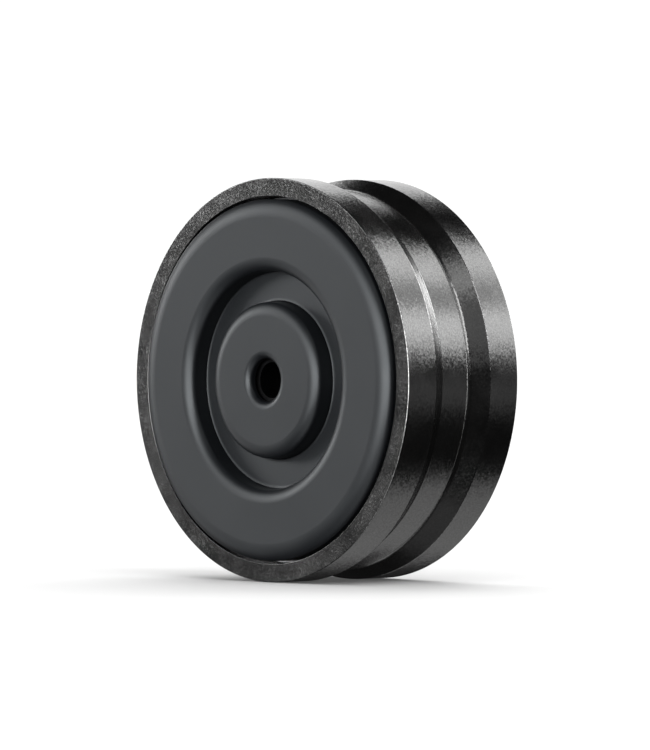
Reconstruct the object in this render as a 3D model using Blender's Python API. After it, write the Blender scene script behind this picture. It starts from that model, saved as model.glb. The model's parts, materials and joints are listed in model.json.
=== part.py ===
"""A round vibration isolation foot, standing on its rim with its axis along Y.

Two turned metal shells meet in a shallow groove round the rim and are screwed
together through a centre plate. Each face carries a rubber ring, and inside
that ring a rubber-capped core that a bolt screws into. Each core sits on an
elastomer ring on the centre plate and sinks a little into the foot under load.
The front half is drawn for the -Y side and mirrored for the +Y side.
"""

import math

import bmesh
import bpy
from mathutils import Vector

MM = 0.001

# Metal body
BODY_RADIUS = 38.0 * MM
BODY_WIDTH = 28.0 * MM
LAND_WIDTH = 7.0 * MM
GROOVE_WALL_RUN = 3.5 * MM
GROOVE_DEPTH = 2.1 * MM
EDGE_BREAK = 0.25 * MM
POCKET_RADIUS = 34.6 * MM
POCKET_DEPTH = 5.8 * MM
FLANGE_BORE_RADIUS = 24.0 * MM
SPIGOT_BORE_RADIUS = 33.0 * MM
CENTRE_PLATE_THICKNESS = 3.0 * MM
CENTRE_PLATE_BORE_RADIUS = 9.0 * MM
SEAL_WIDTH = 1.1 * MM
SEAL_THICKNESS = 0.9 * MM

# Rubber ring and the thin web that closes the gap round the boss
PAD_PROUD = 1.6 * MM
PAD_OUTER_ROUND = (3.3 * MM, 1.6 * MM)
PAD_INNER_ROUND = (1.2 * MM, 1.1 * MM)
PAD_INNER_RADIUS = 20.7 * MM
PAD_FOOT_RADIUS = 20.4 * MM
WEB_DEPTH = 2.6 * MM
WEB_OUTER_RADIUS = 24.0 * MM
BACKING_THICKNESS = 1.3 * MM
BACKING_BORE_RADIUS = 16.0 * MM

# Boss, core and bolt insert
BOSS_PROUD = 1.45 * MM
BOSS_RADIUS = 14.85 * MM
BOSS_TOP_RADIUS = 14.6 * MM
BOSS_ROUND = (2.4 * MM, 1.35 * MM)
BOSS_HOLE_RADIUS = 4.1 * MM
BOSS_LIP = 1.0 * MM
BOSS_FACE_THICKNESS = 1.65 * MM
HUB_RADIUS = 9.5 * MM
HUB_BORE_RADIUS = 5.3 * MM
CORE_FLANGE_RADIUS = 22.0 * MM
CORE_FLANGE_THICKNESS = 2.0 * MM
INSERT_RADIUS = 5.0 * MM
INSERT_BORE_RADIUS = 3.4 * MM
INSERT_SHOULDER_RADIUS = 7.5 * MM
INSERT_SHOULDER_THICKNESS = 1.2 * MM
INSERT_FLOOR_THICKNESS = 1.3 * MM

# Elastomer rings of one stage
ISOLATOR_RADII = (12.0 * MM, 20.5 * MM)
ISOLATOR_THICKNESS = 3.1 * MM
REBOUND_RADII = (17.0 * MM, 21.0 * MM)
REBOUND_THICKNESS = 0.7 * MM

# Fasteners: shell screws hold the shells together, backing screws the backing rings
SCREW_CIRCLE_RADIUS = 28.5 * MM
SHELL_SCREW_COUNT = 6
SHELL_SCREW_RADIUS = 1.5 * MM
SHELL_SCREW_HEAD = (2.75 * MM, 3.0 * MM)
SHELL_SCREW_SOCKET = (1.25 * MM, 1.5 * MM)
SHELL_SCREW_REACH = 7.2 * MM
SHELL_SCREW_PHASE = 0.0
BACKING_SCREW_COUNT = 3
BACKING_SCREW_RADIUS = 1.25 * MM
BACKING_SCREW_HEAD_RADIUS = 2.3 * MM
BACKING_SCREW_SOCKET = (0.8 * MM, 0.7 * MM)
BACKING_SCREW_LENGTH = 5.5 * MM
BACKING_SCREW_PHASE = math.radians(90)
CUTTER_OVERRUN = 2.0 * MM

GAP = 0.3 * MM
RIM_STEPS = 64
CORE_STEPS = 44
SCREW_STEPS = 12
EDGE_ROUND_STEPS = 4
LIP_ROUND_STEPS = 2
SMOOTH_ANGLE = math.radians(25)
WELD = 0.001 * MM

FLOOR_RADIUS = BODY_RADIUS - GROOVE_DEPTH

# Planes along the axis, as distances from the middle of the foot
FACE = BODY_WIDTH / 2
SHOULDER = FACE - POCKET_DEPTH
PLATE_HALF = CENTRE_PLATE_THICKNESS / 2
FLANGE_INNER = PLATE_HALF + GAP
GROOVE_FLOOR_HALF = FACE - LAND_WIDTH - GROOVE_WALL_RUN
SEAM = GAP - GROOVE_FLOOR_HALF
BACKING_BACK = SHOULDER + GAP
BACKING_FRONT = BACKING_BACK + BACKING_THICKNESS
PAD_BACK = BACKING_FRONT + GAP
WEB_TOP = FACE - WEB_DEPTH
PAD_FACE = FACE + PAD_PROUD
BOSS_FACE = FACE + BOSS_PROUD
ISOLATOR_TOP = PLATE_HALF + GAP + ISOLATOR_THICKNESS
CORE_BACK = ISOLATOR_TOP + GAP
CORE_FRONT = CORE_BACK + CORE_FLANGE_THICKNESS
HUB_END = BOSS_FACE - BOSS_FACE_THICKNESS - GAP
INSERT_BACK = CORE_BACK - GAP - INSERT_SHOULDER_THICKNESS

FRONT = -1
REAR = 1


def clear_scene():
    for obj in list(bpy.data.objects):
        bpy.data.objects.remove(obj, do_unlink=True)


def make_material(name, colour, roughness, metallic):
    mat = bpy.data.materials.new(name)
    mat.use_nodes = True
    shader = mat.node_tree.nodes["Principled BSDF"]
    shader.inputs["Base Color"].default_value = (*colour, 1.0)
    shader.inputs["Roughness"].default_value = roughness
    shader.inputs["Metallic"].default_value = metallic
    return mat


def quarter_round(corner, radial, axial, steps, towards_axis):
    """Points of a quarter ellipse that rounds off a face's edge, from the side to the face."""
    r_corner, y_corner = corner
    sign = -1 if towards_axis else 1
    points = []
    for i in range(steps + 1):
        a = math.pi / 2 * i / steps
        r = r_corner + sign * radial * (1 - math.cos(a))
        y = y_corner - axial * (1 - math.sin(a))
        points.append((r, y))
    return points


def spin_profile(bm, profile, steps, side, centre=Vector((0, 0, 0))):
    """Spin (radius, distance) points about a line along Y, so that flats lie at the stated radius.

    A profile that starts on the axis ends there too. Any other one is a closed loop.
    """
    grow = 1 / math.cos(math.pi / steps)
    start = math.pi / steps
    verts = []
    for radius, distance in profile:
        r = radius * grow
        place = Vector((r * math.cos(start), side * distance, r * math.sin(start)))
        verts.append(bm.verts.new(centre + place))
    edges = [bm.edges.new(pair) for pair in zip(verts, verts[1:])]
    if profile[0][0] > 0:
        edges.append(bm.edges.new((verts[-1], verts[0])))
    bmesh.ops.spin(
        bm, geom=verts + edges, cent=centre, axis=(0, 1, 0),
        angle=math.tau, steps=steps, use_merge=False, use_duplicate=False,
    )
    bmesh.ops.remove_doubles(bm, verts=bm.verts, dist=WELD)
    bmesh.ops.recalc_face_normals(bm, faces=bm.faces)


def finish_object(bm, name, material, parent):
    """Make the object, with its geometry set off so that a parent empty can sit on a joint axis."""
    if parent:
        bmesh.ops.translate(bm, verts=bm.verts, vec=-parent.location)
    mesh = bpy.data.meshes.new(name)
    bm.to_mesh(mesh)
    bm.free()
    mesh.shade_smooth()
    mesh.set_sharp_from_angle(angle=SMOOTH_ANGLE)
    if material:
        mesh.materials.append(material)
    obj = bpy.data.objects.new(name, mesh)
    bpy.context.scene.collection.objects.link(obj)
    obj.parent = parent
    return obj


def turned(name, profile, steps, side, material, parent):
    bm = bmesh.new()
    spin_profile(bm, profile, steps, side)
    return finish_object(bm, name, material, parent)


def circle_places(count, phase):
    """Centres on the screw circle, evenly spaced."""
    for i in range(count):
        a = phase + math.tau * i / count
        yield Vector((SCREW_CIRCLE_RADIUS * math.cos(a), 0, SCREW_CIRCLE_RADIUS * math.sin(a)))


def turned_copies(name, profile, count, phase, side, material):
    """The same fastener at each place on the screw circle, one object each, sharing a mesh."""
    first = turned(f"{name}_1", profile, SCREW_STEPS, side, material, None)
    places = list(circle_places(count, phase))
    first.location = places[0]
    for number, centre in enumerate(places[1:], start=2):
        obj = bpy.data.objects.new(f"{name}_{number}", first.data)
        obj.location = centre
        bpy.context.scene.collection.objects.link(obj)


def cut_holes(obj, profile, count, phase, side):
    """Bore the same hole round the screw circle, with one hidden cutter for them all."""
    bm = bmesh.new()
    for centre in circle_places(count, phase):
        spin_profile(bm, profile, SCREW_STEPS, side, centre)
    cutter = finish_object(bm, f"{obj.name}_cutter_{count}", None, None)
    cutter.hide_render = True
    cutter.display_type = "WIRE"
    mod = obj.modifiers.new(cutter.name, "BOOLEAN")
    mod.operation = "DIFFERENCE"
    mod.solver = "EXACT"
    mod.object = cutter


def ring(inner, outer, low, high):
    return [(inner, low), (outer, low), (outer, high), (inner, high)]


def land_profile():
    """Outside of one half of the metal body, from the groove's floor to the pocket."""
    land_start = FACE - LAND_WIDTH
    wall_break = EDGE_BREAK / 2
    wall_slope = GROOVE_DEPTH / GROOVE_WALL_RUN
    return [
        (FLOOR_RADIUS, GROOVE_FLOOR_HALF),
        (BODY_RADIUS - wall_break * wall_slope, land_start - wall_break),
        (BODY_RADIUS, land_start + wall_break),
        (BODY_RADIUS, FACE - EDGE_BREAK),
        (BODY_RADIUS - EDGE_BREAK, FACE),
        (POCKET_RADIUS, FACE),
        (POCKET_RADIUS, SHOULDER),
        (FLANGE_BORE_RADIUS, SHOULDER),
        (FLANGE_BORE_RADIUS, FLANGE_INNER),
    ]


def front_shell_profile():
    """The half with the groove's floor, which runs on past the middle to the seam."""
    seal_seat_outer = SPIGOT_BORE_RADIUS + SEAL_WIDTH + GAP
    seal_seat_floor = SEAM + SEAL_THICKNESS + GAP
    return land_profile() + [
        (SPIGOT_BORE_RADIUS, FLANGE_INNER),
        (SPIGOT_BORE_RADIUS, seal_seat_floor),
        (seal_seat_outer, seal_seat_floor),
        (seal_seat_outer, SEAM),
        (FLOOR_RADIUS, SEAM),
    ]


def rear_shell_profile():
    """The half whose spigot fits in the front shell's bore."""
    return land_profile() + [
        (SPIGOT_BORE_RADIUS - GAP, FLANGE_INNER),
        (SPIGOT_BORE_RADIUS - GAP, GROOVE_FLOOR_HALF),
    ]


def pad_profile():
    outer = POCKET_RADIUS - GAP
    outer_round = quarter_round((outer, PAD_FACE), *PAD_OUTER_ROUND, EDGE_ROUND_STEPS, True)
    inner_round = quarter_round((PAD_INNER_RADIUS, PAD_FACE), *PAD_INNER_ROUND, LIP_ROUND_STEPS, False)
    rebate = WEB_OUTER_RADIUS + GAP
    return [(outer, PAD_BACK)] + outer_round + inner_round[::-1] + [
        (PAD_FOOT_RADIUS, WEB_TOP + GAP),
        (rebate, WEB_TOP + GAP),
        (rebate, PAD_BACK),
    ]


def boss_profile():
    """Cap over the hub, with a rounded shoulder and a soft lip round the bolt hole."""
    shoulder = quarter_round((BOSS_TOP_RADIUS, BOSS_FACE), *BOSS_ROUND, EDGE_ROUND_STEPS, True)
    lip = quarter_round((BOSS_HOLE_RADIUS, BOSS_FACE), BOSS_LIP, BOSS_LIP, LIP_ROUND_STEPS, False)
    pocket = HUB_RADIUS + GAP
    return [
        (BOSS_RADIUS, CORE_FRONT + GAP),
        (BOSS_RADIUS, WEB_TOP),
    ] + shoulder + lip[::-1] + [
        (BOSS_HOLE_RADIUS, HUB_END + GAP),
        (pocket, HUB_END + GAP),
        (pocket, CORE_FRONT + GAP),
    ]


def core_profile():
    return [
        (HUB_BORE_RADIUS, CORE_BACK),
        (CORE_FLANGE_RADIUS, CORE_BACK),
        (CORE_FLANGE_RADIUS, CORE_FRONT),
        (HUB_RADIUS, CORE_FRONT),
        (HUB_RADIUS, HUB_END),
        (HUB_BORE_RADIUS, HUB_END),
    ]


def insert_profile():
    """Blind threaded insert, pulled up against the back of the core by its shoulder."""
    shoulder_top = CORE_BACK - GAP
    return [
        (0, INSERT_BACK),
        (INSERT_SHOULDER_RADIUS, INSERT_BACK),
        (INSERT_SHOULDER_RADIUS, shoulder_top),
        (INSERT_RADIUS, shoulder_top),
        (INSERT_RADIUS, HUB_END - GAP),
        (INSERT_BORE_RADIUS, HUB_END - GAP),
        (INSERT_BORE_RADIUS, INSERT_BACK + INSERT_FLOOR_THICKNESS),
        (0, INSERT_BACK + INSERT_FLOOR_THICKNESS),
    ]


def shell_screw_profile():
    """Socket-head screw from the front flange through to the rear one."""
    head_radius, head_height = SHELL_SCREW_HEAD
    socket_radius, socket_depth = SHELL_SCREW_SOCKET
    top = SHOULDER - GAP
    under = top - head_height
    return [
        (0, -SHELL_SCREW_REACH),
        (SHELL_SCREW_RADIUS, -SHELL_SCREW_REACH),
        (SHELL_SCREW_RADIUS, under),
        (head_radius, under),
        (head_radius, top),
        (socket_radius, top),
        (socket_radius, top - socket_depth),
        (0, top - socket_depth),
    ]


def shell_screw_hole():
    """Counterbore and clearance hole for a shell screw."""
    head_radius, head_height = SHELL_SCREW_HEAD
    under = SHOULDER - GAP - head_height
    return [
        (0, -SHOULDER - CUTTER_OVERRUN),
        (SHELL_SCREW_RADIUS + GAP, -SHOULDER - CUTTER_OVERRUN),
        (SHELL_SCREW_RADIUS + GAP, under - GAP),
        (head_radius + GAP, under - GAP),
        (head_radius + GAP, SHOULDER + CUTTER_OVERRUN),
        (0, SHOULDER + CUTTER_OVERRUN),
    ]


def backing_screw_profile():
    """Countersunk screw, flush with the backing ring."""
    socket_radius, socket_depth = BACKING_SCREW_SOCKET
    cone = BACKING_SCREW_HEAD_RADIUS - BACKING_SCREW_RADIUS
    top = BACKING_FRONT
    return [
        (0, top - BACKING_SCREW_LENGTH),
        (BACKING_SCREW_RADIUS, top - BACKING_SCREW_LENGTH),
        (BACKING_SCREW_RADIUS, top - cone),
        (BACKING_SCREW_HEAD_RADIUS, top),
        (socket_radius, top),
        (socket_radius, top - socket_depth),
        (0, top - socket_depth),
    ]


def backing_screw_hole():
    """Countersunk clearance hole, carried on into the shell's flange."""
    cone = BACKING_SCREW_HEAD_RADIUS - BACKING_SCREW_RADIUS
    low = BACKING_FRONT - BACKING_SCREW_LENGTH - GAP
    return [
        (0, low),
        (BACKING_SCREW_RADIUS + GAP, low),
        (BACKING_SCREW_RADIUS + GAP, BACKING_FRONT - cone),
        (BACKING_SCREW_HEAD_RADIUS + GAP, BACKING_FRONT),
        (BACKING_SCREW_HEAD_RADIUS + GAP, BACKING_FRONT + CUTTER_OVERRUN),
        (0, BACKING_FRONT + CUTTER_OVERRUN),
    ]


def build_housing(side, label, metal, steel, rubber, elastomer):
    """The fixed pieces of one half."""
    profile = front_shell_profile() if side == FRONT else rear_shell_profile()
    shell = turned(f"{label}_shell", profile, RIM_STEPS, side, metal, None)
    backing = turned(
        f"{label}_backing_ring",
        ring(BACKING_BORE_RADIUS, POCKET_RADIUS - GAP, BACKING_BACK, BACKING_FRONT),
        RIM_STEPS, side, steel, None,
    )
    cut_holes(shell, shell_screw_hole(), SHELL_SCREW_COUNT, SHELL_SCREW_PHASE, FRONT)
    for obj in (shell, backing):
        cut_holes(obj, backing_screw_hole(), BACKING_SCREW_COUNT, BACKING_SCREW_PHASE, side)
    turned_copies(f"{label}_backing_screw", backing_screw_profile(), BACKING_SCREW_COUNT,
                  BACKING_SCREW_PHASE, side, steel)
    turned(f"{label}_pad", pad_profile(), RIM_STEPS, side, rubber, None)
    turned(f"{label}_web", ring(BOSS_RADIUS + GAP, WEB_OUTER_RADIUS, PAD_BACK, WEB_TOP),
           CORE_STEPS, side, rubber, None)
    turned(f"{label}_rebound_ring",
           ring(*REBOUND_RADII, CORE_FRONT + GAP, CORE_FRONT + GAP + REBOUND_THICKNESS),
           CORE_STEPS, side, elastomer, None)
    turned(f"{label}_isolator", ring(*ISOLATOR_RADII, FLANGE_INNER, ISOLATOR_TOP),
           CORE_STEPS, side, elastomer, None)


def build_core(side, label, steel, blackened, rubber):
    """The pieces of one half that sink in together, under an empty on their slide axis."""
    slide = bpy.data.objects.new(f"{label}_core_slide", None)
    slide.location = (0, side * CORE_BACK, 0)
    bpy.context.scene.collection.objects.link(slide)
    turned(f"{label}_core", core_profile(), CORE_STEPS, side, steel, slide)
    turned(f"{label}_insert", insert_profile(), CORE_STEPS // 2, side, blackened, slide)
    turned(f"{label}_boss", boss_profile(), CORE_STEPS, side, rubber, slide)


def build_centre(steel, elastomer):
    """The plate between the shells, the seal at their seam and the screws through them."""
    plate = turned("centre_plate",
                   ring(CENTRE_PLATE_BORE_RADIUS, SPIGOT_BORE_RADIUS - GAP, -PLATE_HALF, PLATE_HALF),
                   RIM_STEPS, FRONT, steel, None)
    cut_holes(plate, shell_screw_hole(), SHELL_SCREW_COUNT, SHELL_SCREW_PHASE, FRONT)
    turned("shell_seal",
           ring(SPIGOT_BORE_RADIUS, SPIGOT_BORE_RADIUS + SEAL_WIDTH, SEAM, SEAM + SEAL_THICKNESS),
           RIM_STEPS, FRONT, elastomer, None)
    turned_copies("shell_screw", shell_screw_profile(), SHELL_SCREW_COUNT,
                  SHELL_SCREW_PHASE, FRONT, steel)


def main():
    clear_scene()
    metal = make_material("black_textured_metal", (0.045, 0.045, 0.048), 0.42, 0.85)
    steel = make_material("zinc_steel", (0.55, 0.56, 0.58), 0.35, 1.0)
    blackened = make_material("blackened_steel", (0.02, 0.02, 0.022), 0.45, 0.9)
    rubber = make_material("charcoal_rubber", (0.05, 0.055, 0.06), 0.6, 0.0)
    elastomer = make_material("isolating_elastomer", (0.12, 0.12, 0.13), 0.7, 0.0)
    for side, label in ((FRONT, "front"), (REAR, "rear")):
        build_housing(side, label, metal, steel, rubber, elastomer)
        build_core(side, label, steel, blackened, rubber)
    build_centre(steel, elastomer)


main()
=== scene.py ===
import json
import math

import bmesh
import bpy
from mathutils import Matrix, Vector


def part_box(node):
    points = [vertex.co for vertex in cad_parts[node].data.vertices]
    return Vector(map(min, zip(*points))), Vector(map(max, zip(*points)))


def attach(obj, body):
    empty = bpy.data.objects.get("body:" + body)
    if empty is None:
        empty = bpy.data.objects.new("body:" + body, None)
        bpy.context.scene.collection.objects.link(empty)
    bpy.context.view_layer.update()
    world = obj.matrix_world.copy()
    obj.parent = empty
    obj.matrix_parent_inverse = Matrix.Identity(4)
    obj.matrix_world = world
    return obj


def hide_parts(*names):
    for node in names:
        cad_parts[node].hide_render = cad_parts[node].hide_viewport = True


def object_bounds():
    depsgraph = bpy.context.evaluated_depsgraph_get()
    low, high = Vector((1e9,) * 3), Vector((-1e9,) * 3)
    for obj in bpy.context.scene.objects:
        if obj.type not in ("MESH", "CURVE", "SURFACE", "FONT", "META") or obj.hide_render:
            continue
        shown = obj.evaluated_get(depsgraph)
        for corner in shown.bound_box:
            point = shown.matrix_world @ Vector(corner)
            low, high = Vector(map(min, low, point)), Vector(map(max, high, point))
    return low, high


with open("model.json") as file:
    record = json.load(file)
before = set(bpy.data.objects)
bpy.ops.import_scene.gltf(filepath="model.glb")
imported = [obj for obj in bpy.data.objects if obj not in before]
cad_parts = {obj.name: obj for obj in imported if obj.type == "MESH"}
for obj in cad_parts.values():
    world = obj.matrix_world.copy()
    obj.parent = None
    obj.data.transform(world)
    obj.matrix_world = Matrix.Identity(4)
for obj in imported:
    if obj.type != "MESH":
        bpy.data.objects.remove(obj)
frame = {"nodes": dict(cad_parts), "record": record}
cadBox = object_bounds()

mm = 0.001
sides = {"front": -1, "rear": 1}
white = (1.0, 1.0, 1.0, 1.0)
print("frame loaded,", len(frame["nodes"]), "nodes")


def addNode(tree, kind, inputs=None, **settings):
    # inputs are values or sockets, by the socket's name or number
    node = tree.nodes.new(kind)
    for key, value in settings.items():
        setattr(node, key, value)
    for key, value in (inputs or {}).items():
        if isinstance(value, bpy.types.NodeSocket):
            tree.links.new(value, node.inputs[key])
        else:
            node.inputs[key].default_value = value
    return node


def mathNode(tree, operation, first, second=None):
    values = {i: v for i, v in enumerate((first, second)) if v is not None}
    return addNode(tree, "ShaderNodeMath", values, operation=operation).outputs[0]


def vectorMath(tree, operation, first, second=None):
    values = {i: v for i, v in enumerate((first, second)) if v is not None}
    return addNode(tree, "ShaderNodeVectorMath", values, operation=operation).outputs[0]


def mapRange(tree, value, low, high, toLow, toHigh, kind="LINEAR"):
    return addNode(tree, "ShaderNodeMapRange", {
        "Value": value, "From Min": low, "From Max": high, "To Min": toLow, "To Max": toHigh,
    }, interpolation_type=kind).outputs[0]


def mixColour(tree, share, first, second):
    # sockets 6 and 7 are the two colours, output 2 the result
    values = {0: share, 6: first, 7: second}
    return addNode(tree, "ShaderNodeMix", values, data_type="RGBA").outputs[2]


# every finish is a pattern on object coordinates, built from the same two noises: a fine grain
# and a slow cloud; each range is the stretch of a noise that is spread out
patterns = dict(
    grainDetail=2.0, grainRoughness=0.6, grainRange=(0.34, 0.70), grainShare=0.75,
    cloudDetail=3.0, cloudRoughness=0.55, cloudRange=(0.30, 0.70), cloudShare=0.25,
    chipAndGlintRange=(0.46, 0.60), facetMiddle=(0.5, 0.5, 0.5),
)
# the metal's lighter edge colour stands for coating wear and a painted edge highlight
blackMetal = dict(
    dark=(0.175, 0.175, 0.175), light=(0.265, 0.265, 0.262), metallic=1.0, specular=0.5,
    roughness=(0.18, 0.25), grainScale=3600.0, cloudScale=160.0, grainDepth=0.002 * mm,
    facetScale=3800.0, facetTilt=0.072, wornAndHighlight=(0.55, 0.55, 0.55),
)
faceRubber = dict(
    dark=(0.005, 0.006, 0.0075), light=(0.008, 0.009, 0.011), metallic=0.0, specular=0.63,
    tint=(0.92, 0.97, 1.0),
    roughness=(0.41, 0.46), grainScale=5200.0, cloudScale=90.0, grainDepth=0.004 * mm,
)
innerRubber = dict(
    dark=(0.085, 0.085, 0.090), light=(0.115, 0.115, 0.120), metallic=0.0, specular=0.4,
    roughness=(0.58, 0.70), grainScale=4000.0, cloudScale=120.0, grainDepth=0.008 * mm,
)
zincSteel = dict(
    dark=(0.46, 0.47, 0.49), light=(0.66, 0.66, 0.66), metallic=1.0, specular=0.5,
    roughness=(0.26, 0.40), grainScale=2600.0, cloudScale=140.0, grainDepth=0.004 * mm,
)
blackenedSteel = dict(
    dark=(0.010, 0.010, 0.011), light=(0.024, 0.024, 0.025), metallic=0.9, specular=0.4,
    roughness=(0.40, 0.52), grainScale=3000.0, cloudScale=200.0, grainDepth=0.004 * mm,
)


def makeFinish(name, look):
    mat = bpy.data.materials.new(name)
    mat.use_nodes = True
    tree = mat.node_tree
    shader = tree.nodes["Principled BSDF"]
    shader.inputs["Metallic"].default_value = look["metallic"]
    shader.inputs["Specular IOR Level"].default_value = look["specular"]
    if "tint" in look:
        shader.inputs["Specular Tint"].default_value = (*look["tint"], 1.0)
    place = addNode(tree, "ShaderNodeTexCoord").outputs["Object"]
    grain = addNode(tree, "ShaderNodeTexNoise", {
        "Vector": place, "Scale": look["grainScale"],
        "Detail": patterns["grainDetail"], "Roughness": patterns["grainRoughness"],
    }).outputs[0]
    cloud = addNode(tree, "ShaderNodeTexNoise", {
        "Vector": place, "Scale": look["cloudScale"],
        "Detail": patterns["cloudDetail"], "Roughness": patterns["cloudRoughness"],
    }).outputs[0]
    # grain and slow cloud together pick the place between the dark and the light colour
    grainShare = mapRange(tree, grain, *patterns["grainRange"], 0.0, patterns["grainShare"])
    cloudShare = mapRange(tree, cloud, *patterns["cloudRange"], 0.0, patterns["cloudShare"])
    share = mathNode(tree, "ADD", grainShare, cloudShare)
    colour = mixColour(tree, share, (*look["dark"], 1.0), (*look["light"], 1.0))
    rough = mapRange(tree, cloud, *patterns["cloudRange"], *look["roughness"])
    if "wornAndHighlight" in look:
        # lighter colour along the turned edges: the coating worn thin and broken, and with it a painted
        # highlight for the edges' bright broken glints
        edge = addNode(tree, "ShaderNodeAttribute", attribute_name="edgeWearAndHighlight").outputs["Fac"]
        chipsAndGlints = addNode(tree, "ShaderNodeTexNoise", {
            "Vector": place, "Scale": look["grainScale"], "Detail": patterns["grainDetail"],
        }).outputs[0]
        broken = mapRange(tree, chipsAndGlints, *patterns["chipAndGlintRange"], 0.0, 1.0)
        colour = mixColour(tree, mathNode(tree, "MULTIPLY", edge, broken), colour, (*look["wornAndHighlight"], 1.0))
    bump = addNode(tree, "ShaderNodeBump", {
        "Height": grain, "Strength": 1.0, "Distance": look["grainDepth"],
    })
    if "facetScale" in look:
        # blasted metal is a field of tiny facets, each tilted its own way
        cells = addNode(tree, "ShaderNodeTexVoronoi", {"Vector": place, "Scale": look["facetScale"]})
        centred = vectorMath(tree, "SUBTRACT", cells.outputs["Color"], patterns["facetMiddle"])
        tilt = vectorMath(tree, "MULTIPLY", centred, (look["facetTilt"],) * 3)
        normal = addNode(tree, "ShaderNodeNewGeometry").outputs["Normal"]
        tilted = vectorMath(tree, "NORMALIZE", vectorMath(tree, "ADD", normal, tilt))
        tree.links.new(tilted, bump.inputs["Normal"])
    tree.links.new(colour, shader.inputs["Base Color"])
    tree.links.new(rough, shader.inputs["Roughness"])
    tree.links.new(bump.outputs[0], shader.inputs["Normal"])
    return mat


finishes = {
    "metal": makeFinish("blackTexturedMetal", blackMetal),
    "rubber": makeFinish("mouldedRubber", faceRubber),
    "elastomer": makeFinish("isolatorElastomer", innerRubber),
    "steel": makeFinish("zincPlatedSteel", zincSteel),
    "insert": makeFinish("blackOxideSteel", blackenedSteel),
}
print("finishes made")


# turned pieces: an outline in (radius, distance along the axis) is swept round the axis
turning = dict(
    ringSteps=288, cornerSteps=8, supportGap=0.06 * mm, weldDistance=0.0005 * mm,
    sharpAngle=math.radians(35),
)


def roundCorners(corners):
    # each corner is (radius, distance, cut before it, cut after it, edge wear and painted edge highlight
    # from 0 to 1);
    # a cut corner becomes a quarter of an ellipse that is tangent to both sides, with a support
    # point supportGap beyond each end; where a side is shorter than that the outline doubles back
    points = []
    count = len(corners)
    for i, (r, d, cutBefore, cutAfter, wearAndHighlight) in enumerate(corners):
        corner = Vector((r, d))
        if not cutBefore:
            points.append((corner, wearAndHighlight))
            continue
        toward = (Vector(corners[i - 1][:2]) - corner).normalized()
        onward = (Vector(corners[(i + 1) % count][:2]) - corner).normalized()
        start = toward * cutBefore
        end = onward * cutAfter
        gap = turning["supportGap"]
        points.append((corner + start + toward * gap, 0.0))
        for step in range(turning["cornerSteps"] + 1):
            a = math.pi / 2 * step / turning["cornerSteps"]
            points.append((corner + start * (1 - math.sin(a)) + end * (1 - math.cos(a)), wearAndHighlight))
        points.append((corner + end + onward * gap, 0.0))
    return points


def makeTurningTree():
    # rows of a grid are the outline's points, columns the steps round the axis
    tree = bpy.data.node_groups.new("turnedRing", "GeometryNodeTree")
    tree.interface.new_socket("Outline", in_out="INPUT", socket_type="NodeSocketGeometry")
    tree.interface.new_socket("Ring Steps", in_out="INPUT", socket_type="NodeSocketInt")
    tree.interface.new_socket("Weld Distance", in_out="INPUT", socket_type="NodeSocketFloat")
    tree.interface.new_socket("Finish", in_out="INPUT", socket_type="NodeSocketMaterial")
    tree.interface.new_socket("Ring", in_out="OUTPUT", socket_type="NodeSocketGeometry")
    given = addNode(tree, "NodeGroupInput").outputs
    points = addNode(tree, "GeometryNodeAttributeDomainSize", {"Geometry": given["Outline"]})
    pointCount = points.outputs["Point Count"]
    columns = mathNode(tree, "ADD", given["Ring Steps"], 1.0)
    grid = addNode(tree, "GeometryNodeMeshGrid", {
        "Size X": 1.0, "Size Y": 1.0,
        "Vertices X": mathNode(tree, "ADD", pointCount, 1.0), "Vertices Y": columns,
    }).outputs["Mesh"]
    index = addNode(tree, "GeometryNodeInputIndex").outputs[0]
    row = mathNode(tree, "FLOOR", mathNode(tree, "DIVIDE", index, columns))
    row = mathNode(tree, "MODULO", row, pointCount)
    column = mathNode(tree, "MODULO", index, columns)
    angle = mathNode(tree, "DIVIDE", mathNode(tree, "MULTIPLY", column, math.tau), given["Ring Steps"])
    place = addNode(tree, "GeometryNodeSampleIndex", {
        "Geometry": given["Outline"], "Value": addNode(tree, "GeometryNodeInputPosition").outputs[0],
        "Index": row,
    }, data_type="FLOAT_VECTOR").outputs[0]
    split = addNode(tree, "ShaderNodeSeparateXYZ", {0: place}).outputs
    swept = addNode(tree, "ShaderNodeCombineXYZ", {
        0: mathNode(tree, "MULTIPLY", split[0], mathNode(tree, "COSINE", angle)),
        1: split[1],
        2: mathNode(tree, "MULTIPLY", split[0], mathNode(tree, "SINE", angle)),
    }).outputs[0]
    wearAndHighlightIn = addNode(tree, "GeometryNodeInputNamedAttribute", {"Name": "edgeWearAndHighlight"}, data_type="FLOAT")
    wearAndHighlight = addNode(tree, "GeometryNodeSampleIndex", {
        "Geometry": given["Outline"], "Value": wearAndHighlightIn.outputs[0], "Index": row,
    }, data_type="FLOAT").outputs[0]
    kept = addNode(tree, "GeometryNodeStoreNamedAttribute", {
        "Geometry": grid, "Name": "edgeWearAndHighlight", "Value": wearAndHighlight,
    }, data_type="FLOAT", domain="POINT").outputs[0]
    moved = addNode(tree, "GeometryNodeSetPosition", {"Geometry": kept, "Position": swept}).outputs[0]
    closed = addNode(tree, "GeometryNodeMergeByDistance", {
        "Geometry": moved, "Distance": given["Weld Distance"],
    }).outputs[0]
    real = addNode(tree, "GeometryNodeRealizeInstances", {"Geometry": closed}).outputs[0]
    painted = addNode(tree, "GeometryNodeSetMaterial", {"Geometry": real, "Material": given["Finish"]})
    out = tree.nodes.new("NodeGroupOutput")
    tree.links.new(painted.outputs[0], out.inputs["Ring"])
    return tree


turningTree = makeTurningTree()
turningInputs = {s.name: s.identifier for s in turningTree.interface.items_tree if s.in_out == "INPUT"}


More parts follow.
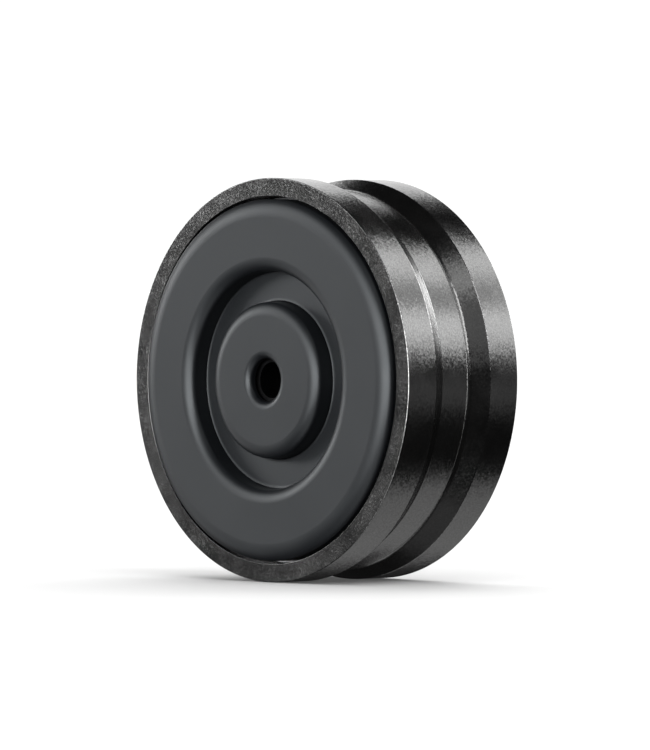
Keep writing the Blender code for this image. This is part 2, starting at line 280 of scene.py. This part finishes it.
def plainMesh(obj, mesh):
    # doubles are merged already; faces are made to point out, and the modifier goes
    obj.modifiers.clear()
    obj.data = mesh
    bm = bmesh.new()
    bm.from_mesh(mesh)
    bmesh.ops.recalc_face_normals(bm, faces=bm.faces)
    if bm.calc_volume(signed=True) < 0:
        bmesh.ops.reverse_faces(bm, faces=bm.faces)
    bm.to_mesh(mesh)
    bm.free()
    mesh.shade_smooth()
    mesh.set_sharp_from_angle(angle=turning["sharpAngle"])


def turnPiece(name, side, corners, finish, body, replaced):
    points = roundCorners(corners)
    mesh = bpy.data.meshes.new(name + "Outline")
    pairs = [(i, (i + 1) % len(points)) for i in range(len(points))]
    mesh.from_pydata([(p.x, side * p.y, 0.0) for p, wearAndHighlight in points], pairs, [])
    # the lighter edge colour, wear and painted highlight, is kept on each point
    edgeWearAndHighlight = mesh.attributes.new("edgeWearAndHighlight", "FLOAT", "POINT")
    edgeWearAndHighlight.data.foreach_set("value", [wearAndHighlight for p, wearAndHighlight in points])
    obj = bpy.data.objects.new(name, mesh)
    bpy.context.scene.collection.objects.link(obj)
    modifier = obj.modifiers.new("turning", "NODES")
    modifier.node_group = turningTree
    modifier[turningInputs["Ring Steps"]] = turning["ringSteps"]
    modifier[turningInputs["Weld Distance"]] = turning["weldDistance"]
    modifier[turningInputs["Finish"]] = finish
    bpy.context.view_layer.update()
    shown = obj.evaluated_get(bpy.context.evaluated_depsgraph_get())
    plainMesh(obj, bpy.data.meshes.new_from_object(shown))
    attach(obj, body)
    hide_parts(replaced)


def reach(node, side):
    # how far a node's near and far ends lie from the middle along the axis, and its radius
    low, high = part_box(node)
    ends = sorted((side * low.y, side * high.y))
    return ends[0], ends[1], high.x


# the two metal shells
# the rim's two turned edges get the lighter edge colour: coating wear and a painted highlight
shell = dict(
    landWidth=7.0 * mm, wallRun=3.5 * mm, grooveDepth=2.1 * mm, edgeWearAndHighlight=0.5,
    pocketRadius=34.6 * mm, pocketDepth=5.8 * mm, flangeBore=24.0 * mm, flangeBack=1.8 * mm,
    spigotBore=33.0 * mm, spigotGap=0.3 * mm, sealSeatWidth=1.4 * mm, sealSeatDepth=1.2 * mm,
    outerRound=0.15 * mm, wallRound=0.15 * mm, footRound=0.25 * mm, pocketRound=0.06 * mm,
    filletLength=0.55 * mm, seamGap=0.03 * mm,
)


def landCorners(face, radius):
    # groove floor's edge, over the land and the rim face, down the pocket to the flange
    landStart = face - shell["landWidth"]
    floorRadius = radius - shell["grooveDepth"]
    shoulder = face - shell["pocketDepth"]
    return [
        (floorRadius, landStart - shell["wallRun"], shell["footRound"], shell["footRound"], 0.0),
        (radius, landStart, shell["wallRound"], shell["wallRound"], shell["edgeWearAndHighlight"]),
        (radius, face, shell["outerRound"], shell["outerRound"], shell["edgeWearAndHighlight"]),
        (shell["pocketRadius"], face, shell["pocketRound"], shell["pocketRound"], 0.0),
        (shell["pocketRadius"], shoulder, 0, 0, 0.0),
        (shell["flangeBore"], shoulder, 0, 0, 0.0),
        (shell["flangeBore"], shell["flangeBack"], 0, 0, 0.0),
    ]


def makeShells():
    seam, face, radius = reach("front_shell", -1)
    floorRadius = radius - shell["grooveDepth"]
    grooveEnd = face - shell["landWidth"] - shell["wallRun"]
    # the rear shell carries the fillet in the groove's far corner, so the seam lies just before
    # it; the fillet takes up the whole of its side, so its support point lies past the seam and
    # leaves a fin with no thickness there
    filletStart = grooveEnd - shell["filletLength"]
    seatOuter = shell["spigotBore"] + shell["sealSeatWidth"]
    # the seal's seat is placed from the CAD shell's own seam
    seatFloor = seam + shell["sealSeatDepth"]
    end = -filletStart + shell["seamGap"]
    corners = landCorners(face, radius) + [
        (shell["spigotBore"], shell["flangeBack"], 0, 0, 0.0),
        (shell["spigotBore"], seatFloor, 0, 0, 0.0),
        (seatOuter, seatFloor, 0, 0, 0.0),
        (seatOuter, end, 0, 0, 0.0),
        (floorRadius, end, 0, 0, 0.0),
    ]
    turnPiece("frontShellTurned", -1, corners, finishes["metal"], "housing", "front_shell")
    spigot = shell["spigotBore"] - shell["spigotGap"]
    fillet = shell["filletLength"]
    corners = landCorners(face, radius)
    corners[0] = (floorRadius, grooveEnd, fillet, fillet, 0.0)
    corners += [
        (spigot, shell["flangeBack"], 0, 0, 0.0),
        (spigot, filletStart, 0, 0, 0.0),
        (floorRadius, filletStart, 0, 0, 0.0),
    ]
    turnPiece("rearShellTurned", 1, corners, finishes["metal"], "housing", "rear_shell")


makeShells()
print("shells turned")


# rubber rings, webs and bosses, the same on both faces
padShape = dict(
    outerRadial=3.3 * mm, outerAxial=1.6 * mm, innerRadius=20.7 * mm, innerRadial=2.4 * mm,
    innerAxial=1.5 * mm, footRadius=20.4 * mm, backRound=0.2 * mm, rebate=24.3 * mm, seat=0.03 * mm,
    relief=0.30 * mm,
)


def makePad(label, side):
    back, face, radius = reach(label + "_pad", side)
    radius -= padShape["relief"]
    webTop = reach(label + "_web", side)[1] + padShape["seat"]
    corners = [
        (radius, back, padShape["backRound"], padShape["backRound"], 0.0),
        (radius, face, padShape["outerAxial"], padShape["outerRadial"], 0.0),
        (padShape["innerRadius"], face, padShape["innerRadial"], padShape["innerAxial"], 0.0),
        (padShape["footRadius"], webTop, 0, 0, 0.0),
        (padShape["rebate"], webTop, 0, 0, 0.0),
        (padShape["rebate"], back, 0, 0, 0.0),
    ]
    turnPiece(label + "PadMoulded", side, corners, finishes["rubber"], "housing",
              label + "_pad")


webShape = dict(
    bossGap=0.10 * mm, padGap=0.02 * mm, beadWidth=0.40 * mm, beadHeight=0.09 * mm,
    beadTop=0.06 * mm,
)


def makeWeb(label, side):
    # the thin floor between ring and boss, with a small bead against each of them; a bead's
    # slope is shorter than its cut, so the outline doubles back there
    back, top, radius = reach(label + "_web", side)
    inner = reach(label + "_boss", side)[2] + webShape["bossGap"]
    outer = padShape["footRadius"] - webShape["padGap"]
    width = webShape["beadWidth"]
    high = top + webShape["beadHeight"]
    corners = [
        (inner, back, 0, 0, 0.0),
        (inner, high, 0, 0, 0.0),
        (inner + webShape["beadTop"], high, 0, 0, 0.0),
        (inner + width / 2, top, width / 2, width, 0.0),
        (outer - width / 2, top, width, width / 2, 0.0),
        (outer - webShape["beadTop"], high, 0, 0, 0.0),
        (outer, high, 0, 0, 0.0),
        (outer, top, 0, 0, 0.0),
        (radius, top, 0, 0, 0.0),
        (radius, back, 0, 0, 0.0),
    ]
    turnPiece(label + "WebMoulded", side, corners, finishes["rubber"], "housing",
              label + "_web")


bossShape = dict(
    topRadius=14.6 * mm, outerRadial=2.4 * mm, outerAxial=1.35 * mm, holeRadius=4.1 * mm,
    lipRadial=1.4 * mm, lipAxial=1.0 * mm, faceThickness=1.65 * mm, pocketRadius=9.8 * mm,
)


def makeBoss(label, side):
    back, face, radius = reach(label + "_boss", side)
    webTop = reach(label + "_web", side)[1]
    inside = face - bossShape["faceThickness"]
    corners = [
        (radius, back, 0, 0, 0.0),
        (radius, webTop, 0, 0, 0.0),
        (bossShape["topRadius"], face, bossShape["outerAxial"], bossShape["outerRadial"], 0.0),
        (bossShape["holeRadius"], face, bossShape["lipRadial"], bossShape["lipAxial"], 0.0),
        (bossShape["holeRadius"], inside, 0, 0, 0.0),
        (bossShape["pocketRadius"], inside, 0, 0, 0.0),
        (bossShape["pocketRadius"], back, 0, 0, 0.0),
    ]
    turnPiece(label + "BossMoulded", side, corners, finishes["rubber"], label + "_core",
              label + "_boss")


for label, side in sides.items():
    makePad(label, side)
    makeWeb(label, side)
    makeBoss(label, side)
print("rubber faces moulded")


# the pieces inside keep their CAD shape and get a finish
slotFinishes = dict(zinc_steel="steel", insert_steel="insert", elastomer="elastomer")


def dressNodes():
    slots = {row["node"]: row["material_slot"] for row in frame["record"]["subparts"]}
    for name, node in frame["nodes"].items():
        if node.hide_render:
            continue
        node.data.materials.clear()
        node.data.materials.append(finishes[slotFinishes[slots[name]]])


dressNodes()
print("inner pieces dressed")


# plain pale floor, soft studio light, camera
floorLook = dict(size=8.0, colour=(0.42, 0.42, 0.42), roughness=0.9, specular=0.0, glow=0.06)
floorSuns = dict(
    behind=dict(azimuth=138, elevation=54, spread=60, power=4.4),
    front=dict(azimuth=330, elevation=56, spread=56, power=2.9),
)
# direction of each soft panel's middle (azimuth from +X towards +Y, elevation), its half angles,
# the softness of its edges and its brightness
panels = dict(
    keyLamp=dict(azimuth=206, elevation=9, halfWide=9, halfHigh=5, soft=2, strength=10.0),
    keyHaze=dict(azimuth=213, elevation=8, halfWide=12, halfHigh=7, soft=6, strength=0.35),
    upperLeft=dict(azimuth=226, elevation=25, halfWide=18, halfHigh=9, soft=5, strength=2.6),
    leftSoftbox=dict(azimuth=190, elevation=10, halfWide=16, halfHigh=12, soft=5, strength=0.6),
    lowerLeft=dict(azimuth=200, elevation=-15, halfWide=14, halfHigh=8, soft=5, strength=1.2),
    frontSoftbox=dict(azimuth=282, elevation=4, halfWide=31, halfHigh=15, soft=5, strength=7.8),
    frontFloor=dict(azimuth=290, elevation=-42, halfWide=24, halfHigh=16, soft=8, strength=0.9),
    rightStrip=dict(azimuth=15, elevation=32, halfWide=6, halfHigh=18, soft=3, strength=4.0),
    rightSoftboxLow=dict(azimuth=46, elevation=20, halfWide=12, halfHigh=9, soft=4, strength=1.75),
    rightSoftboxHigh=dict(azimuth=70, elevation=46, halfWide=11, halfHigh=6, soft=3, strength=1.9),
    rightFill=dict(azimuth=56, elevation=32, halfWide=20, halfHigh=14, soft=6, strength=0.75),
    rightHaze=dict(azimuth=340, elevation=25, halfWide=14, halfHigh=14, soft=5, strength=0.28),
    horizonGlow=dict(azimuth=43, elevation=-6, halfWide=20, halfHigh=6, soft=5, strength=0.14),
    overheadFill=dict(azimuth=341, elevation=52, halfWide=12, halfHigh=9, soft=6, strength=1.0),
    rearStrip=dict(azimuth=82, elevation=22, halfWide=7, halfHigh=12, soft=4, strength=8.0),
    rearSweep=dict(azimuth=139, elevation=19, halfWide=15.5, halfHigh=16, soft=5, strength=1.25),
    floorBounce=dict(azimuth=101, elevation=-47, halfWide=27, halfHigh=10, soft=5, strength=0.42),
    floorGlow=dict(azimuth=0, elevation=-82, halfWide=18, halfHigh=18, soft=8, strength=0.10),
)
# the world's even light, what the camera sees behind the floor, and how a panel fades out
# towards the directions square to it
worldLook = dict(ambient=0.015, backdrop=1.1, panelFade=0.05, leastAhead=0.01)


def directionOf(look):
    # unit vector from an azimuth (from +X towards +Y) and an elevation
    a, e = math.radians(look["azimuth"]), math.radians(look["elevation"])
    return Vector((math.cos(a) * math.cos(e), math.sin(a) * math.cos(e), math.sin(e)))


def makeFloorSuns(floor):
    # two wide soft suns light the floor alone, so the shadow spreads before and behind it
    lit = bpy.data.collections.new("litBySuns")
    lit.objects.link(floor)
    for name, look in floorSuns.items():
        data = bpy.data.lights.new(name + "Sun", "SUN")
        data.energy = look["power"]
        data.angle = math.radians(look["spread"])
        sun = bpy.data.objects.new(name + "Sun", data)
        bpy.context.scene.collection.objects.link(sun)
        sun.rotation_euler = directionOf(look).to_track_quat("Z", "Y").to_euler()
        sun.light_linking.receiver_collection = lit


def makeFloor():
    half = floorLook["size"] / 2
    height = cadBox[0].z
    mesh = bpy.data.meshes.new("floor")
    ends = ((-half, -half), (half, -half), (half, half), (-half, half))
    mesh.from_pydata([(x, y, height) for x, y in ends], [], [(0, 1, 2, 3)])
    floor = bpy.data.objects.new("floor", mesh)
    bpy.context.scene.collection.objects.link(floor)
    mat = bpy.data.materials.new("paleFloor")
    mat.use_nodes = True
    shader = mat.node_tree.nodes["Principled BSDF"]
    shader.inputs["Base Color"].default_value = (*floorLook["colour"], 1.0)
    shader.inputs["Roughness"].default_value = floorLook["roughness"]
    shader.inputs["Specular IOR Level"].default_value = floorLook["specular"]
    shader.inputs["Emission Color"].default_value = white
    shader.inputs["Emission Strength"].default_value = floorLook["glow"]
    mesh.materials.append(mat)
    # the floor's light on the object comes from the panels below the horizon instead
    floor.visible_glossy = False
    floor.visible_diffuse = False
    makeFloorSuns(floor)


def panelLight(tree, direction, panel):
    # a soft-edged rectangle at a great distance, lying square to its own direction
    a = math.radians(panel["azimuth"])
    middle = directionOf(panel)
    right = Vector((-math.sin(a), math.cos(a), 0.0))
    up = right.cross(middle) * -1

    def along(axis):
        product = addNode(tree, "ShaderNodeVectorMath", {0: direction, 1: axis}, operation="DOT_PRODUCT")
        return product.outputs[1]

    ahead = along(middle)
    light = mapRange(tree, ahead, 0.0, worldLook["panelFade"], 0.0, panel["strength"])
    ahead = mathNode(tree, "MAXIMUM", ahead, worldLook["leastAhead"])
    for axis, half in ((right, panel["halfWide"]), (up, panel["halfHigh"])):
        offset = mathNode(tree, "ABSOLUTE", mathNode(tree, "DIVIDE", along(axis), ahead))
        inner = math.tan(math.radians(half - panel["soft"]))
        outer = math.tan(math.radians(half + panel["soft"]))
        within = mapRange(tree, offset, inner, outer, 1.0, 0.0, "SMOOTHSTEP")
        light = mathNode(tree, "MULTIPLY", light, within)
    return light


def makeStudio():
    world = bpy.data.worlds.new("studio")
    world.use_nodes = True
    bpy.context.scene.world = world
    tree = world.node_tree
    tree.nodes.clear()
    direction = addNode(tree, "ShaderNodeTexCoord").outputs["Generated"]
    total = None
    for panel in panels.values():
        light = panelLight(tree, direction, panel)
        total = light if total is None else mathNode(tree, "ADD", total, light)
    total = mathNode(tree, "ADD", total, worldLook["ambient"])
    lit = addNode(tree, "ShaderNodeBackground", {"Color": white, "Strength": total})
    backdrop = addNode(tree, "ShaderNodeBackground", {"Color": white, "Strength": worldLook["backdrop"]})
    seen = addNode(tree, "ShaderNodeLightPath").outputs["Is Camera Ray"]
    mixed = addNode(tree, "ShaderNodeMixShader", {0: seen, 1: lit.outputs[0], 2: backdrop.outputs[0]})
    out = tree.nodes.new("ShaderNodeOutputWorld")
    tree.links.new(mixed.outputs[0], out.inputs["Surface"])


# the camera's azimuth runs from -Y, where the front face looks, towards +X
cameraLook = dict(
    azimuth=47.15, elevation=0.61, distance=1.1152, lens=282.56, shift=(0.00156, 0.00617),
    clip=(0.01, 50.0),
)


def makeCamera():
    data = bpy.data.cameras.new("camera")
    data.lens = cameraLook["lens"]
    data.shift_x, data.shift_y = cameraLook["shift"]
    data.clip_start, data.clip_end = cameraLook["clip"]
    camera = bpy.data.objects.new("camera", data)
    bpy.context.scene.collection.objects.link(camera)
    a, e = math.radians(cameraLook["azimuth"]), math.radians(cameraLook["elevation"])
    back = Vector((math.sin(a) * math.cos(e), -math.cos(a) * math.cos(e), math.sin(e)))
    camera.location = back * cameraLook["distance"]
    camera.rotation_mode = "QUATERNION"
    camera.rotation_quaternion = back.to_track_quat("Z", "Y")
    bpy.context.scene.camera = camera


makeFloor()
makeStudio()
makeCamera()
bpy.context.scene.view_settings.view_transform = "Standard"
print("studio ready")
